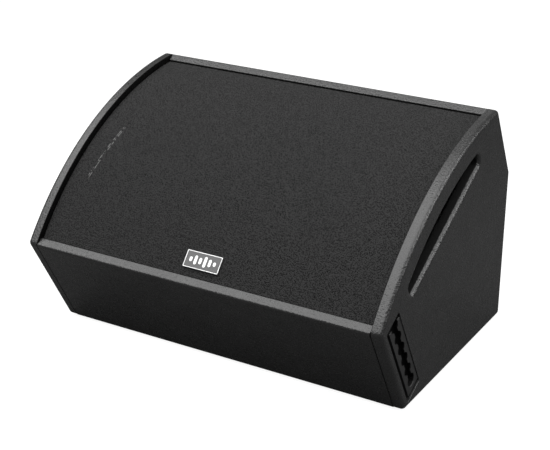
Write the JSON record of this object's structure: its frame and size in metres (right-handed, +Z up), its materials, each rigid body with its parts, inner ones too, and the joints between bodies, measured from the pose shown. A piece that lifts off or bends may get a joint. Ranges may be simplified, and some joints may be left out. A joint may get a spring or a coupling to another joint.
{
  "type": "stage monitor wedge",
  "caption": "Plywood floor monitor wedge with a foam-covered curved grille, slotted hand holes, side fly tracks, a woofer, a horn and a rear connector dish.",
  "frame": {"origin": "on the floor, under the middle of the cabinet's bounding box", "axes": "+X is the cabinet's width, the curved grille faces -Y and up, +Z is up"},
  "size_m": [0.6, 0.445, 0.3677],
  "materials": {
    "textured_paint": "plywood under satin black textured paint",
    "birch_plywood": "bare birch plywood",
    "grille_foam": "open-cell acoustic foam, matt dark grey",
    "powder_coated_steel": "perforated steel, powder-coated black",
    "badge": "printed grey plate with a pale border",
    "track_aluminium": "dark grey anodised extrusion",
    "zinc_plated_steel": "bright zinc plate",
    "cast_basket": "cast aluminium, painted black",
    "ferrite": "bare ferrite",
    "paper_cone": "pressed paper, black",
    "treated_cloth": "resin-treated cloth",
    "enamelled_copper": "enamelled copper winding",
    "moulded_plastic": "moulded black plastic, fine grain",
    "circuit_board": "green laminate",
    "rubber": "matt black rubber",
    "wadding": "white polyester wadding"
  },
  "bodies": {
    "cabinet": {"back_panel": "textured_paint", "badge": "badge", "baffle": "textured_paint", "bottom_panel": "textured_paint", "brace": "birch_plywood", "capacitor_1": "moulded_plastic", "capacitor_2": "moulded_plastic", "connector_dish": "moulded_plastic", "crossover_board": "circuit_board", "damping_pad_left": "wadding", "damping_pad_right": "wadding", "dish_screw_1": "zinc_plated_steel", "dish_screw_2": "zinc_plated_steel", "dish_screw_3": "zinc_plated_steel", "dish_screw_4": "zinc_plated_steel", "fly_track_left": "track_aluminium", "fly_track_right": "track_aluminium", "foot_back_left": "rubber", "foot_back_right": "rubber", "foot_front_left": "rubber", "foot_front_right": "rubber", "foot_screw_back_left": "zinc_plated_steel", "foot_screw_back_right": "zinc_plated_steel", "foot_screw_front_left": "zinc_plated_steel", "foot_screw_front_right": "zinc_plated_steel", "grille_batten_left": "textured_paint", "grille_batten_right": "textured_paint", "grille_block_lower": "textured_paint", "grille_block_upper": "textured_paint", "grille_foam": "grille_foam", "grille_sheet": "powder_coated_steel", "horn": "moulded_plastic", "horn_driver_cap": "moulded_plastic", "horn_driver_diaphragm": "zinc_plated_steel", "horn_driver_magnet": "ferrite", "inductor_large": "enamelled_copper", "inductor_small": "enamelled_copper", "kick_panel": "textured_paint", "port_tube_lower": "moulded_plastic", "port_tube_upper": "moulded_plastic", "rear_slope_panel": "textured_paint", "side_panel_left": "textured_paint", "side_panel_right": "textured_paint", "socket_input": "moulded_plastic", "socket_link": "moulded_plastic", "track_backing_left": "zinc_plated_steel", "track_backing_right": "zinc_plated_steel", "track_bolt_left_1": "powder_coated_steel", "track_bolt_left_2": "powder_coated_steel", "track_bolt_right_1": "powder_coated_steel", "track_bolt_right_2": "powder_coated_steel", "woofer_back_plate": "zinc_plated_steel", "woofer_basket": "cast_basket", "woofer_magnet": "ferrite", "woofer_spider": "treated_cloth", "woofer_surround": "treated_cloth", "woofer_top_plate": "zinc_plated_steel"},
    "cone_assembly": {"woofer_cone": "paper_cone", "dust_cap": "paper_cone", "voice_coil": "enamelled_copper"}
  },
  "joints": [
    {"name": "woofer_cone_travel", "type": "slide", "parent": "cabinet", "child": "cone_assembly", "axis": [0, -0.4848, 0.8746], "range_m": [-0.005, 0.005], "stiffness_N_per_m": 4000, "deforming": ["woofer_surround", "woofer_spider"]}
  ]
}
